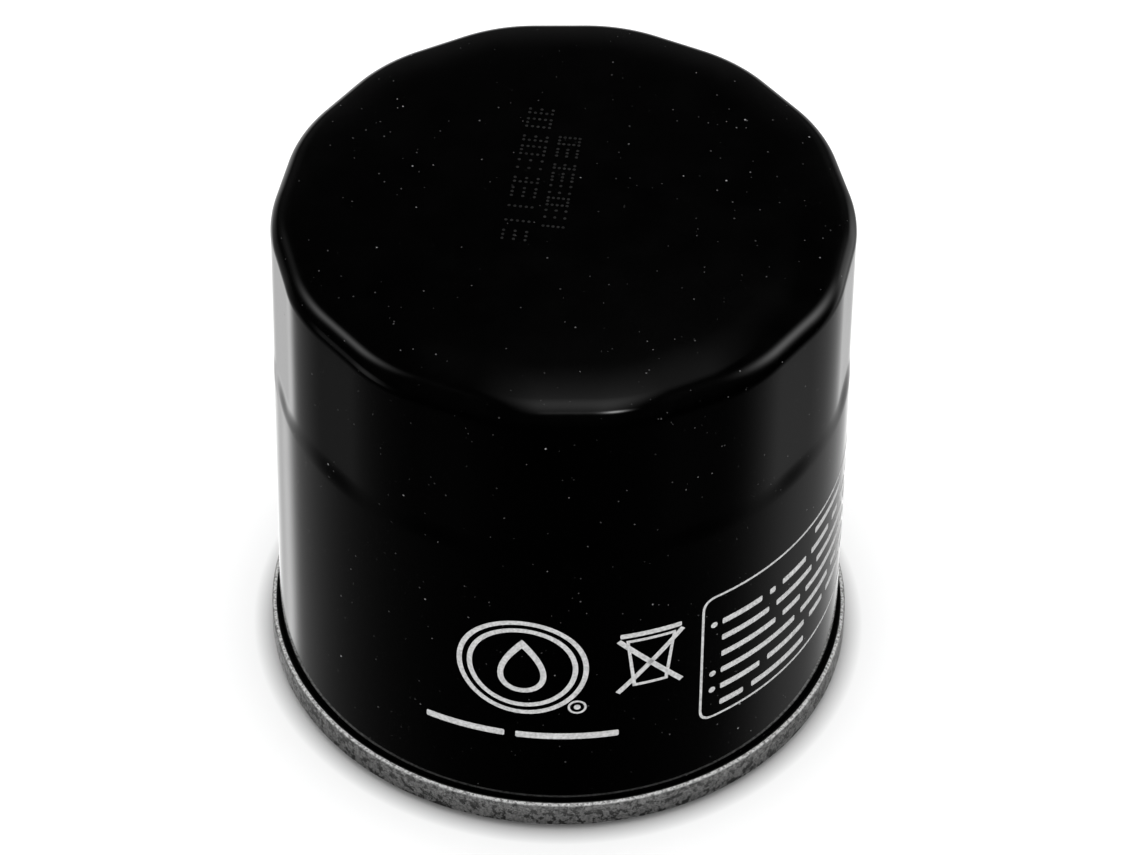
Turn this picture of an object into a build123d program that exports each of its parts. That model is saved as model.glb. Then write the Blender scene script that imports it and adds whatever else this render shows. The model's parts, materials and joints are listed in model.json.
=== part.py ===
from build123d import *
import math
import os

# Spin-on oil filter, all sizes in millimetres.
# +Z points from the engine to the closed, domed end. The origin is the centre of
# the gasket's sealing face, which is also the lowest plane of the filter.

# ---------------------------------------------------------------- driving dimensions
BODY_RADIUS = 38.0
CAN_WALL = 0.40
LID_SHEET = 0.32
GASKET_PROUD = 0.8          # gasket below the rim of the double seam
SHOULDER_HEIGHT = 77.1      # plane where the shoulder radius meets the dome
DOME_RISE = 0.9
SHOULDER_RADIUS = 5.1

# Wrench flats pressed into the closed end.
FLAT_COUNT = 14
FLAT_APOTHEM = 37.55
FLAT_CORNER_RADIUS = 22.8
FLAT_START = 52.8           # full flats above this height
FLAT_FADE_LENGTH = 4.0
FLAT_FADE_ANGLE = 10.0      # slope of the fade from flat to round body, in degrees

# Double seam.
RIM_RADIUS = 39.1
SEAM_TOP = 4.7
SEAM_GAP = 0.02
SEAM_BEND = 0.3
CAN_HOOK_TOP = 3.9
CAN_WALL_BOTTOM = 2.6       # straight wall above this height, seam below
COMPOUND_TOP = 4.2

# Gasket and its groove in the lid.
GASKET_INNER_RADIUS = 31.0
GASKET_OUTER_RADIUS = 35.5
GASKET_HEIGHT = 4.2
GASKET_EDGE = 0.35
GROOVE_WALL_DEPTH = 2.2
GROOVE_BEAD_WIDTH = 1.1
GROOVE_CLEARANCE = 0.1      # between the gasket and the bead beside it
LID_INNER_RADIUS = 26.2

# Base plate with the threaded hub, M20 x 1.5.
PLATE_RADIUS = 36.6
PLATE_THICKNESS = 3.0
THREAD_MINOR_RADIUS = 9.188
HUB_RADIUS = 13.2
HUB_TOP = 16.0
HUB_ROOT_RADIUS = 1.2
LEAD_IN = 1.0
INLET_COUNT = 8
INLET_RADIUS = 3.25
INLET_CIRCLE = 20.2
WELD_COUNT = 8
WELD_RADIUS = 1.3
WELD_CIRCLE = 27.9
WELD_DIMPLE = 0.08

# Anti-drainback valve, a one-piece rubber cone over the inlet holes.
VALVE_BEAD_INNER = 13.3
VALVE_BEAD_OUTER = 16.4
VALVE_BEAD_BOTTOM = 11.9
VALVE_BEAD_TOP = 14.6
VALVE_LIP_RADIUS = 26.8
VALVE_SHEET = 1.0
VALVE_ROOT_SHEET = 1.4      # thicker rubber where the cone leaves the bead
VALVE_LIP_GAP = 0.06

# Filter element.
CAP_SHEET = 0.35
CAP_RADIUS = 33.4
CAP_RIM_HEIGHT = 3.2
LOWER_CAP_BOTTOM = 14.65
LOWER_CAP_HOLE = 13.6
UPPER_CAP_TOP = 66.35
UPPER_CAP_HOLE = 13.2
POTTING_DEPTH = 2.4
POTTING_CLEARANCE = 0.3
PLEAT_COUNT = 52
PLEAT_OUTER = 32.4
PLEAT_INNER = 18.9
PLEAT_FOLD = 1.7            # radial depth of paper at a fold
PLEAT_TIP = 0.4             # half width of the paper at a fold
PLEAT_END_GAP = 0.5         # pleat ends stop this far from the cap
TUBE_INNER = 17.6
TUBE_OUTER = 18.1
TUBE_HOLE_RADIUS = 2.0
TUBE_HOLE_ROWS = 7
TUBE_HOLE_PAIRS = 6
CLIP_DEPTH = 4.0
CLIP_INNER_WIDTH = 2.1
CLIP_SHEET = 0.3
CLIP_END_CLEARANCE = 0.5    # from each end cap's rim

# Bypass valve in the upper end cap.
BYPASS_FLANGE = 15.6
CAGE_SHEET = 0.4
CAGE_OUTER = 11.0
CAGE_BOTTOM = 52.0
CAGE_WINDOW_WIDTH = 9.0
CAGE_WINDOW_HEIGHT = 9.5
CAGE_WINDOW_BOTTOM = 54.0
SEAT_THICKNESS = 0.5
SEAT_HOLE = 6.2
SEAL_RADIUS = 9.4
SEAL_THICKNESS = 1.1
POPPET_RADIUS = 9.6
POPPET_SHEET = 0.5
POPPET_RIM = 1.6
STEM_RADIUS = 1.5
STEM_HEAD_RADIUS = 2.7
STEM_HEAD_HEIGHT = 0.7
STEM_BOTTOM = 50.0
STEM_CLEARANCE = 0.08
BYPASS_WIRE = 0.45
BYPASS_COIL_RADIUS = 6.6
BYPASS_TURNS = 6.0

# Spring between the element and the dome.
SUPPORT_WIRE = 0.9
SUPPORT_COIL_RADIUS = 13.2
SUPPORT_TURNS = 3.25

CONTACT_GAP = 0.02          # between stacked parts that rest on each other
SPRING_GAP = 0.05

# ---------------------------------------------------------------- heights of the stack
RIM_BOTTOM = GASKET_PROUD
FLOOR_TOP = GASKET_HEIGHT + LID_SHEET
PLATE_BOTTOM = FLOOR_TOP + CONTACT_GAP
PLATE_TOP = PLATE_BOTTOM + PLATE_THICKNESS
LOWER_CAP_TOP = LOWER_CAP_BOTTOM + CAP_SHEET
UPPER_CAP_BOTTOM = UPPER_CAP_TOP - CAP_SHEET
PLEAT_BOTTOM = LOWER_CAP_TOP + PLEAT_END_GAP
PLEAT_TOP = UPPER_CAP_BOTTOM - PLEAT_END_GAP
CAGE_FLANGE_TOP = UPPER_CAP_TOP + CONTACT_GAP + CAGE_SHEET
SEAT_BOTTOM = CAGE_FLANGE_TOP + CONTACT_GAP
SEAT_TOP = SEAT_BOTTOM + SEAT_THICKNESS
SEAL_TOP = SEAT_BOTTOM - CONTACT_GAP
SEAL_BOTTOM = SEAL_TOP - SEAL_THICKNESS
POPPET_TOP = SEAL_BOTTOM - CONTACT_GAP
POPPET_BOTTOM = POPPET_TOP - POPPET_SHEET


# ---------------------------------------------------------------- helpers
def revolved(section):
    """A section drawn on the XZ plane, turned once round Z."""
    return revolve(section, Axis.Z, 360)


def sheet_section(points, bend, thickness):
    """The section of a bent sheet whose middle runs through the points (radius, height)."""
    path = FilletPolyline(*points, radius=bend)
    return Plane.XZ * trace(path, thickness)


def ring(inner, outer, bottom, top):
    """A plain round ring."""
    section = Polygon((inner, bottom), (outer, bottom), (outer, top), (inner, top), align=None)
    return revolved(Plane.XZ * section)


def disc(radius, bottom, top):
    """A plain round disc on the axis."""
    return Pos(0, 0, bottom) * extrude(Circle(radius), top - bottom)


def coil(mean_radius, wire_radius, bottom, top, turns):
    """A helical spring with plain ends, its wire inside bottom and top."""
    height = top - bottom - 2 * wire_radius
    path = Helix(pitch=height / turns, height=height, radius=mean_radius)
    start = Plane(origin=path @ 0, z_dir=path % 0)
    wire = sweep(start * Circle(wire_radius), path=path, is_frenet=True)
    return Pos(0, 0, bottom + wire_radius) * wire


# ---------------------------------------------------------------- can
def flats_outline(inset):
    """The 14-sided outline with rounded corners, one flat facing -Y."""
    corner = FLAT_CORNER_RADIUS - inset
    across = (FLAT_APOTHEM - inset) / math.cos(math.pi / FLAT_COUNT)
    first_corner = -90 + 180 / FLAT_COUNT
    outline = RegularPolygon(across, FLAT_COUNT, rotation=first_corner)
    return fillet(outline.vertices(), corner)


def can_block(inset, bottom):
    """The solid block bounded by the can's outside, moved inwards by inset."""
    radius = BODY_RADIUS - inset
    outline = flats_outline(inset)
    top = SHOULDER_HEIGHT - inset
    head = Pos(0, 0, FLAT_START) * extrude(outline, top - FLAT_START)
    head = fillet(head.edges().group_by(Axis.Z)[-1], SHOULDER_RADIUS - inset)
    flare = extrude(outline, FLAT_FADE_LENGTH, taper=-FLAT_FADE_ANGLE)
    flare = Pos(0, 0, FLAT_START) * Rot(180, 0, 0) * flare
    fade = flare & disc(radius, FLAT_START - FLAT_FADE_LENGTH, FLAT_START)
    lower = disc(radius, bottom, FLAT_START - FLAT_FADE_LENGTH)
    dome_edge = FLAT_APOTHEM - SHOULDER_RADIUS
    dome_radius = (dome_edge**2 + DOME_RISE**2) / (2 * DOME_RISE)
    dome_ball = Pos(0, 0, top + DOME_RISE - dome_radius) * Sphere(dome_radius)
    dome = dome_ball & disc(dome_edge, top - DOME_RISE, top + 2 * DOME_RISE)
    return lower + fade + head + dome


def make_can():
    shell = can_block(0, CAN_WALL_BOTTOM) - can_block(CAN_WALL, CAN_WALL_BOTTOM)
    wall_middle = BODY_RADIUS - CAN_WALL / 2
    hook_middle = BODY_RADIUS + LID_SHEET + 2 * SEAM_GAP + CAN_WALL / 2
    bend_middle = RIM_BOTTOM + LID_SHEET + 2 * SEAM_GAP + CAN_WALL / 2
    hook = sheet_section(
        [
            (wall_middle, CAN_WALL_BOTTOM),
            (wall_middle, bend_middle),
            (hook_middle, bend_middle),
            (hook_middle, CAN_HOOK_TOP),
        ],
        SEAM_BEND,
        CAN_WALL,
    )
    return shell + revolved(hook)


# ---------------------------------------------------------------- lid and seam
def make_lid():
    half = LID_SHEET / 2
    hook = BODY_RADIUS + SEAM_GAP + half
    outside = RIM_RADIUS - half
    chuck = BODY_RADIUS - CAN_WALL - 2 * SEAM_GAP - half
    bead_outer = GASKET_INNER_RADIUS - GROOVE_CLEARANCE - half
    bead_inner = bead_outer - GROOVE_BEAD_WIDTH
    panel = RIM_BOTTOM + half
    floor = GASKET_HEIGHT + half
    section = sheet_section(
        [
            (hook, RIM_BOTTOM + LID_SHEET + CAN_WALL + 5 * SEAM_GAP),
            (hook, SEAM_TOP - half),
            (outside, SEAM_TOP - half),
            (outside, panel),
            (chuck, panel),
            (chuck, floor),
            (bead_outer, floor),
            (bead_outer, GROOVE_WALL_DEPTH),
            (bead_inner, GROOVE_WALL_DEPTH),
            (bead_inner, floor),
            (LID_INNER_RADIUS, floor),
        ],
        SEAM_BEND,
        LID_SHEET,
    )
    return revolved(section) - weld_discs(WELD_RADIUS, RIM_BOTTOM, PLATE_BOTTOM)


def weld_discs(radius, bottom, top):
    """One disc at each spot weld."""
    places = PolarLocations(WELD_CIRCLE, WELD_COUNT, start_angle=180 / WELD_COUNT)
    return [place * disc(radius, bottom, top) for place in places]


def make_spot_welds():
    """Weld nuggets in the lid's holes, seated on the base plate and dimpled on the open side."""
    return Compound(weld_discs(WELD_RADIUS - CONTACT_GAP, GASKET_HEIGHT + WELD_DIMPLE, PLATE_BOTTOM))


def make_seam_compound():
    inner = BODY_RADIUS + LID_SHEET + 3 * SEAM_GAP
    return ring(inner, inner + CAN_WALL - 2 * SEAM_GAP, CAN_HOOK_TOP + 2 * SEAM_GAP, COMPOUND_TOP)


def make_gasket():
    gasket = ring(GASKET_INNER_RADIUS, GASKET_OUTER_RADIUS, 0, GASKET_HEIGHT - CONTACT_GAP)
    return chamfer(gasket.edges().filter_by(GeomType.CIRCLE), GASKET_EDGE)


# ---------------------------------------------------------------- base plate
def make_base_plate():
    section = Polygon(
        (THREAD_MINOR_RADIUS + LEAD_IN, PLATE_BOTTOM),
        (PLATE_RADIUS, PLATE_BOTTOM),
        (PLATE_RADIUS, PLATE_TOP),
        (HUB_RADIUS + HUB_ROOT_RADIUS, PLATE_TOP),
        (HUB_RADIUS, PLATE_TOP + HUB_ROOT_RADIUS),
        (HUB_RADIUS, HUB_TOP),
        (THREAD_MINOR_RADIUS + LEAD_IN / 2, HUB_TOP),
        (THREAD_MINOR_RADIUS, HUB_TOP - LEAD_IN / 2),
        (THREAD_MINOR_RADIUS, PLATE_BOTTOM + LEAD_IN),
        align=None,
    )
    plate = revolved(Plane.XZ * section)
    inlet = Cylinder(INLET_RADIUS, HUB_TOP)
    inlets = Pos(0, 0, PLATE_BOTTOM) * PolarLocations(INLET_CIRCLE, INLET_COUNT) * inlet
    return plate - inlets


def make_drainback_valve():
    lip_bottom = PLATE_TOP + VALVE_LIP_GAP
    section = Polygon(
        (VALVE_BEAD_INNER, VALVE_BEAD_BOTTOM),
        (VALVE_BEAD_OUTER, VALVE_BEAD_BOTTOM),
        (VALVE_LIP_RADIUS - VALVE_SHEET, lip_bottom),
        (VALVE_LIP_RADIUS, lip_bottom),
        (VALVE_LIP_RADIUS, lip_bottom + VALVE_SHEET),
        (VALVE_BEAD_OUTER, VALVE_BEAD_BOTTOM + VALVE_ROOT_SHEET),
        (VALVE_BEAD_OUTER, VALVE_BEAD_TOP),
        (VALVE_BEAD_INNER, VALVE_BEAD_TOP),
        align=None,
    )
    return revolved(Plane.XZ * section)


# ---------------------------------------------------------------- filter element
def pleat_outline(fold_radius, point_radius, first_fold):
    """A closed zigzag: a blunt fold of two corners at fold_radius, a point at point_radius."""
    pitch = 2 * math.pi / PLEAT_COUNT
    half_fold = PLEAT_TIP / fold_radius
    corners = []
    for index in range(PLEAT_COUNT):
        middle = (index + first_fold) * pitch
        for angle in (middle - half_fold, middle + half_fold):
            corners.append((fold_radius * math.cos(angle), fold_radius * math.sin(angle)))
        angle = middle + pitch / 2
        corners.append((point_radius * math.cos(angle), point_radius * math.sin(angle)))
    return Polygon(*corners, align=None)


def make_pleats():
    outside = pleat_outline(PLEAT_OUTER, PLEAT_INNER + PLEAT_FOLD, 0)
    inside = pleat_outline(PLEAT_INNER, PLEAT_OUTER - PLEAT_FOLD, 0.5)
    return Pos(0, 0, PLEAT_BOTTOM) * extrude(outside - inside, PLEAT_TOP - PLEAT_BOTTOM)


def end_cap(hole):
    """A pressed cap, open side up, its outside face on z = 0."""
    half = CAP_SHEET / 2
    wall = CAP_RADIUS - half
    path = [(hole, half), (wall, half), (wall, CAP_RIM_HEIGHT)]
    return revolved(sheet_section(path, CAP_SHEET, CAP_SHEET))


def make_potting(bottom, pleats):
    """Adhesive poured into a cap round the pleat ends."""
    outer = CAP_RADIUS - CAP_SHEET - POTTING_CLEARANCE
    return ring(TUBE_OUTER + CONTACT_GAP, outer, bottom, bottom + POTTING_DEPTH) - pleats


def make_center_tube():
    bottom = LOWER_CAP_TOP + CONTACT_GAP
    top = UPPER_CAP_BOTTOM - CONTACT_GAP
    tube = ring(TUBE_INNER, TUBE_OUTER, bottom, top)
    pitch = (top - bottom) / (TUBE_HOLE_ROWS + 1)
    through = 2 * TUBE_OUTER + CAP_SHEET
    for row in range(TUBE_HOLE_ROWS):
        height = bottom + (row + 1) * pitch
        for pair in range(TUBE_HOLE_PAIRS):
            turn = (pair + 0.5 * (row % 2)) * 180 / TUBE_HOLE_PAIRS
            tube -= Pos(0, 0, height) * Rot(0, 90, turn) * Cylinder(TUBE_HOLE_RADIUS, through)
    return tube


def make_seam_clip():
    """The metal channel that closes the paper ring over one fold."""
    outer_width = CLIP_INNER_WIDTH + 2 * CLIP_SHEET
    inner_face = PLEAT_OUTER - CLIP_DEPTH
    outer_face = PLEAT_OUTER + 2 * CONTACT_GAP + CLIP_SHEET
    length = UPPER_CAP_BOTTOM - LOWER_CAP_TOP - 2 * (CAP_RIM_HEIGHT + CLIP_END_CLEARANCE)
    depth = outer_face - inner_face
    channel = Box(depth, outer_width, length)
    slot = Pos(-CLIP_SHEET, 0, 0) * Box(depth, CLIP_INNER_WIDTH, 2 * length)
    middle = (UPPER_CAP_BOTTOM + LOWER_CAP_TOP) / 2
    return Pos(inner_face + depth / 2, 0, middle) * (channel - slot)


# ---------------------------------------------------------------- bypass valve
def make_bypass_cage():
    half = CAGE_SHEET / 2
    wall = CAGE_OUTER - half
    path = [
        (BYPASS_FLANGE, CAGE_FLANGE_TOP - half),
        (wall, CAGE_FLANGE_TOP - half),
        (wall, CAGE_BOTTOM + half),
        (STEM_RADIUS + STEM_CLEARANCE, CAGE_BOTTOM + half),
    ]
    cage = revolved(sheet_section(path, 2 * CAGE_SHEET, CAGE_SHEET))
    through = 2 * (CAGE_OUTER + CAGE_SHEET)
    window = Box(through, CAGE_WINDOW_WIDTH, CAGE_WINDOW_HEIGHT)
    middle = CAGE_WINDOW_BOTTOM + CAGE_WINDOW_HEIGHT / 2
    for turn in (0, 90):
        cage -= Pos(0, 0, middle) * Rot(0, 0, turn) * window
    return cage


def make_bypass_seat():
    return ring(SEAT_HOLE, BYPASS_FLANGE, SEAT_BOTTOM, SEAT_TOP)


def make_bypass_seal():
    return ring(STEM_RADIUS + CONTACT_GAP, SEAL_RADIUS, SEAL_BOTTOM, SEAL_TOP)


def make_bypass_poppet():
    plate = ring(STEM_RADIUS + CONTACT_GAP, POPPET_RADIUS, POPPET_BOTTOM, POPPET_TOP)
    rim_inner = POPPET_RADIUS - POPPET_SHEET
    return plate + ring(rim_inner, POPPET_RADIUS, POPPET_BOTTOM - POPPET_RIM, POPPET_BOTTOM)


def make_bypass_stem():
    head_bottom = SEAL_TOP + CONTACT_GAP
    head = disc(STEM_HEAD_RADIUS, head_bottom, head_bottom + STEM_HEAD_HEIGHT)
    return head + disc(STEM_RADIUS, STEM_BOTTOM, head_bottom)


def make_bypass_spring():
    bottom = CAGE_BOTTOM + CAGE_SHEET + SPRING_GAP
    return coil(BYPASS_COIL_RADIUS, BYPASS_WIRE, bottom, POPPET_BOTTOM - SPRING_GAP, BYPASS_TURNS)


def make_support_spring():
    dome_edge = FLAT_APOTHEM - SHOULDER_RADIUS
    reach = (SUPPORT_COIL_RADIUS + SUPPORT_WIRE) / dome_edge
    ceiling = SHOULDER_HEIGHT - CAN_WALL + DOME_RISE * (1 - reach**2)
    return coil(
        SUPPORT_COIL_RADIUS, SUPPORT_WIRE, SEAT_TOP + SPRING_GAP, ceiling - SPRING_GAP, SUPPORT_TURNS
    )


# ---------------------------------------------------------------- all nodes
def make_nodes():
    pleats = make_pleats()
    upper_potting_bottom = UPPER_CAP_BOTTOM - CONTACT_GAP - POTTING_DEPTH
    return {
        "can_shell": make_can(),
        "seaming_lid": make_lid(),
        "spot_welds": make_spot_welds(),
        "seam_compound": make_seam_compound(),
        "mounting_gasket": make_gasket(),
        "base_plate": make_base_plate(),
        "drainback_valve": make_drainback_valve(),
        "lower_end_cap": Pos(0, 0, LOWER_CAP_BOTTOM) * end_cap(LOWER_CAP_HOLE),
        "upper_end_cap": Pos(0, 0, UPPER_CAP_TOP) * Rot(180, 0, 0) * end_cap(UPPER_CAP_HOLE),
        "lower_potting": make_potting(LOWER_CAP_TOP + CONTACT_GAP, pleats),
        "upper_potting": make_potting(upper_potting_bottom, pleats),
        "pleated_element": pleats,
        "pleat_seam_clip": make_seam_clip(),
        "center_tube": make_center_tube(),
        "bypass_cage": make_bypass_cage(),
        "bypass_seat": make_bypass_seat(),
        "bypass_seal": make_bypass_seal(),
        "bypass_poppet": make_bypass_poppet(),
        "bypass_stem": make_bypass_stem(),
        "bypass_spring": make_bypass_spring(),
        "support_spring": make_support_spring(),
    }


os.makedirs("parts", exist_ok=True)
for name, shape in make_nodes().items():
    export_step(shape, f"parts/{name}.step")
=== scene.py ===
import json
import math
import random

import bmesh
import bpy
from mathutils import Matrix, Vector


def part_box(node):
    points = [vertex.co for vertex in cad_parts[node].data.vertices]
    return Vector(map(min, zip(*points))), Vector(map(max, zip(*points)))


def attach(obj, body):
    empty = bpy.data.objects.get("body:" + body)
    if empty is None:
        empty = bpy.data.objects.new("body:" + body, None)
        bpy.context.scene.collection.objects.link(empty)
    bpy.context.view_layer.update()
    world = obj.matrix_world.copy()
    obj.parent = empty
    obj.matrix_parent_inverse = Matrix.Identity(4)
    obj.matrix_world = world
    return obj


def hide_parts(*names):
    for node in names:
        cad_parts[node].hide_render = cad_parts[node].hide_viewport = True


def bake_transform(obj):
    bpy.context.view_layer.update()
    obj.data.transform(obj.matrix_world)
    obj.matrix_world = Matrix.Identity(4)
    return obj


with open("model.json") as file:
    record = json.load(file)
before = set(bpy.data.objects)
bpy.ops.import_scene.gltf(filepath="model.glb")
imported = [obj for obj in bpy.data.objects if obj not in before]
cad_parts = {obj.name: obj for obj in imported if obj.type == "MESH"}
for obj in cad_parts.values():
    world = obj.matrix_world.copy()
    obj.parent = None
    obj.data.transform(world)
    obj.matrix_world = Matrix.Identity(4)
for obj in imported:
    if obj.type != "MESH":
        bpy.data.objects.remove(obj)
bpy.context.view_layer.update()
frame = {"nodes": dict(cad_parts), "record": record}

# A spin-on oil filter, in metres. +Z points to the domed end; the gasket's face is z = 0.
MM = 0.001
HOUSING = "housing"

# ---- sizes read from the frame


def top_of(node):
    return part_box(node)[1].z


def bottom_of(node):
    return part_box(node)[0].z


def radius_of(node):
    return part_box(node)[1].x


CAN_TOP = top_of("can_shell")
RIM_RADIUS = radius_of("seaming_lid")
RIM_BOTTOM = bottom_of("seaming_lid")
SEAM_TOP = top_of("seaming_lid")
GASKET_OUTER = radius_of("mounting_gasket")
GASKET_TOP = top_of("mounting_gasket")
PLATE_RADIUS = radius_of("base_plate")
PLATE_BOTTOM = bottom_of("base_plate")
HUB_TOP = top_of("base_plate")
PLEAT_OUTER = radius_of("pleated_element")
PLEAT_BOTTOM = bottom_of("pleated_element")
PLEAT_TOP = top_of("pleated_element")
CAP_RADIUS = radius_of("lower_end_cap")
LOWER_CAP_BOTTOM = bottom_of("lower_end_cap")
UPPER_CAP_TOP = top_of("upper_end_cap")
SEAT_BOTTOM = bottom_of("bypass_seat")
SEAT_TOP = top_of("bypass_seat")
SEAL_RADIUS = radius_of("bypass_seal")
POPPET_RADIUS = radius_of("bypass_poppet")

# ---- sizes of the design
BODY_RADIUS = 38.0 * MM
CAN_WALL = 0.40 * MM
LID_SHEET = 0.32 * MM
SEAM_GAP = 0.02 * MM
SEAM_BEND = 0.3 * MM
CAN_HOOK_TOP = 3.9 * MM
WALL_BOTTOM = 2.2 * MM    # the can's skin ends here and its rolled hook begins
SHOULDER_RADIUS = 3.6 * MM
SHOULDER_END = math.radians(14)    # tilt at which the tight shoulder gives way to the soft one
SOFT_RADIUS = 27.0 * MM
DOME_TILT = math.radians(2.4)
FLAT_COUNT = 14
FLAT_APOTHEM = 37.55 * MM
FLAT_CORNER = 22.8 * MM
FADE_BOTTOM = 49.4 * MM
FADE_TOP = 53.3 * MM
GASKET_INNER = 31.0 * MM
GROOVE_DEPTH = 2.2 * MM
GROOVE_BEAD = 1.1 * MM
LID_INNER = 26.2 * MM
PLATE_THICKNESS = 3.0 * MM
THREAD_MINOR = 9.188 * MM
THREAD_MAJOR = 10.0 * MM
THREAD_PITCH = 1.5 * MM
THREAD_CREST = 0.14    # share of the pitch that is flat at the crest, and at the root
HUB_RADIUS = 13.2 * MM
HUB_FILLET = 1.2 * MM
LEAD_IN = 1.0 * MM
INLET_COUNT = 8
INLET_RADIUS = 3.25 * MM
INLET_CIRCLE = 20.2 * MM
WELD_COUNT = 8
WELD_RADIUS = 1.3 * MM
WELD_CIRCLE = 27.9 * MM
PLEAT_COUNT = 52
PLEAT_INNER = 18.9 * MM
PAPER = 0.55 * MM
CAP_SHEET = 0.35 * MM
CAP_RIM = 3.2 * MM
CAP_RIB = 24.0 * MM    # radius at which the raised rib begins
CAP_RIB_HEIGHT = 0.35 * MM
LOWER_CAP_HOLE = 13.6 * MM
UPPER_CAP_HOLE = 13.2 * MM
VALVE_BEAD_INNER = 13.3 * MM
VALVE_BEAD_OUTER = 16.4 * MM
VALVE_BEAD_BOTTOM = 11.9 * MM
VALVE_BEAD_TOP = 14.6 * MM
VALVE_LIP_RADIUS = 26.8 * MM
SEAT_HOLE = 6.2 * MM
BYPASS_FLANGE = 15.6 * MM
POPPET_SHEET = 0.5 * MM
AXIS_RADIUS = 0.01 * MM    # pinhole left where an outline meets the axis
STEM_RADIUS = 1.5 * MM
STEM_HEAD = 2.7 * MM
STEM_BOTTOM = 50.0 * MM
BYPASS_WIRE = 0.45 * MM
BYPASS_COIL = 6.6 * MM
BYPASS_OPEN_TURNS = 4
SUPPORT_WIRE = 0.9 * MM
SUPPORT_COIL = 13.2 * MM
SUPPORT_OPEN_TURNS = 2

ROUND_STEPS = 24 * FLAT_COUNT    # points round the can
DOME_RINGS, SOFT_RINGS, BEND_RINGS = 24, 8, 26    # rings of points down the can's skin
FLAT_RINGS, FADE_RINGS, WALL_RINGS = 12, 14, 26
LATHE_STEPS = 192
SMALL_LATHE_STEPS = 96
ARC_STEPS = 5
WELD = 0.001 * MM    # points closer than this are one
SHARP_DEGREES = 35.0


# ---- mesh helpers
def smooth(mesh, sharp_degrees=SHARP_DEGREES):
    """Smooth shading, with edges above that angle kept sharp."""
    mesh.shade_smooth()
    mesh.set_sharp_from_angle(angle=math.radians(sharp_degrees))


def placed(name, data):
    """A new object in the scene."""
    made = bpy.data.objects.new(name, data)
    bpy.context.scene.collection.objects.link(made)
    return made


def new_object(name, vertices, faces, sharp_degrees=SHARP_DEGREES):
    mesh = bpy.data.meshes.new(name)
    mesh.from_pydata(vertices, [], faces)
    mesh.validate()
    smooth(mesh, sharp_degrees)
    return placed(name, mesh)


def dress(piece, slot, nodes=(), look=None):
    """Gives a piece its slot, its look (the slot's own unless given) and the CAD nodes it stands for."""
    piece.data.materials.clear()
    piece.data.materials.append(look or LOOKS[slot])
    if nodes:
        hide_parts(*nodes)


def finish_piece(piece, slot, nodes=(), body=HOUSING, look=None):
    """Dresses a piece that rides on one body."""
    dress(piece, slot, nodes, look)
    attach(piece, body)


def rounded(points, radius, steps=ARC_STEPS):
    """A closed outline with each corner turned into an arc. A radius of 0 keeps a corner."""
    result = []
    count = len(points)
    for index, corner in enumerate(points):
        here = Vector(corner[:2])
        bend = corner[2] if len(corner) > 2 else radius
        before = Vector(points[index - 1][:2]) - here
        after = Vector(points[(index + 1) % count][:2]) - here
        turn = before.angle(after)
        if bend <= 0 or turn > math.radians(178):
            result.append(tuple(here))
            continue
        reach = min(bend / math.tan(turn / 2), 0.49 * before.length, 0.49 * after.length)
        start = here + before.normalized() * reach
        end = here + after.normalized() * reach
        for step in range(steps + 1):
            share = step / steps
            point = start.lerp(here, share).lerp(here.lerp(end, share), share)
            result.append(tuple(point))
    return result


def sheet_outline(path, thickness, bend):
    """The closed outline of a bent sheet whose middle follows a path of (radius, height)."""
    middle = [Vector(path[0])]
    for index in range(1, len(path) - 1):
        corner = Vector(path[index])
        before = (Vector(path[index - 1]) - corner).normalized()
        after = (Vector(path[index + 1]) - corner).normalized()
        turn = before.angle(after)
        reach = bend / math.tan(turn / 2)
        centre = corner + (before + after).normalized() * bend / math.sin(turn / 2)
        first = corner + before * reach - centre
        last = corner + after * reach - centre
        for step in range(ARC_STEPS + 2):
            spoke = first.slerp(last, step / (ARC_STEPS + 1)).normalized()
            middle.append(centre + spoke * bend)
    middle.append(Vector(path[-1]))
    left, right = [], []
    for index, point in enumerate(middle):
        ahead = middle[min(index + 1, len(middle) - 1)] - middle[max(index - 1, 0)]
        side = Vector((-ahead.y, ahead.x)).normalized() * thickness / 2
        left.append(tuple(point + side))
        right.append(tuple(point - side))
    return left + right[::-1]


def polar(radius, angle, height):
    return radius * math.cos(angle), radius * math.sin(angle), height


def ring_points(rings, steps):
    """Points of rings, each a function from an angle to its radius and height there."""
    points = []
    for ring in rings:
        for step in range(steps):
            angle = 2 * math.pi * step / steps
            radius, height = ring(angle)
            points.append(polar(radius, angle, height))
    return points


def plain_rings(outline):
    """Rings that are the same all round, one for each point of an outline."""
    return [lambda angle, point=point: point for point in outline]


def ring_faces(count, steps, closed):
    """Quads between that many rings of points, back to the first ring if closed."""
    starts = [index * steps for index in range(count)]
    pairs = zip(starts, starts[1:] + starts[:1] if closed else starts[1:])
    return [
        (low + step, low + (step + 1) % steps, high + (step + 1) % steps, high + step)
        for low, high in pairs
        for step in range(steps)
    ]


def lathe(name, outline, steps=LATHE_STEPS):
    """Turns a closed outline of (radius, height) round Z."""
    points = ring_points(plain_rings(outline), steps)
    return outward(new_object(name, points, ring_faces(len(outline), steps, True)))


def reshaped(piece, change):
    """Runs change on a piece's mesh, opened as a bmesh."""
    made = bmesh.new()
    made.from_mesh(piece.data)
    change(made)
    made.to_mesh(piece.data)
    made.free()
    return piece


def outward(piece):
    """Turns every face to point out of the closed solid."""
    return reshaped(piece, lambda made: bmesh.ops.recalc_face_normals(made, faces=made.faces))


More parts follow.
